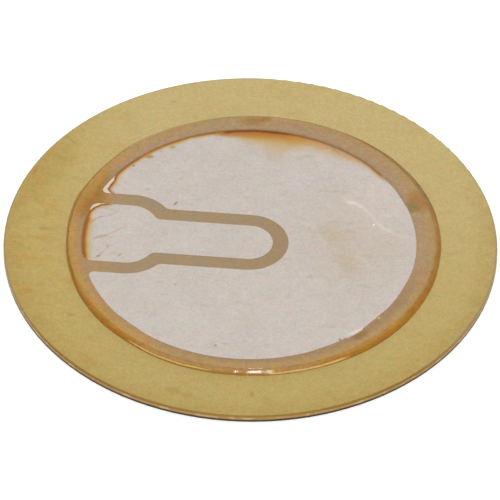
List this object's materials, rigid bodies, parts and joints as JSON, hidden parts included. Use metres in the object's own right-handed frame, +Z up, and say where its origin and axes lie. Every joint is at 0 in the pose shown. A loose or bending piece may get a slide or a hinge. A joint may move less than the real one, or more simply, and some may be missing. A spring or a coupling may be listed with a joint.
{
  "type": "piezo disc",
  "caption": "Thin round piezo diaphragm: silvered ceramic disc on a larger brass disc, with a tongue-shaped feedback electrode set off by a bare slot.",
  "frame": {"origin": "centre of the brass plate's underside", "axes": "+Z up, from the plate through the ceramic; +X runs along the feedback electrode, from its solder pad at the rim to its finger's round tip"},
  "size_m": [0.027, 0.027, 0.0007],
  "materials": {
    "brass": "satin",
    "resin": "gloss",
    "silver": "matte",
    "ceramic": "matte"
  },
  "bodies": {
    "root": {"brass_plate": "brass", "adhesive": "resin", "rear_electrode": "silver", "ceramic_disc": "ceramic", "main_electrode": "silver", "feedback_electrode": "silver"}
  },
  "joints": []
}
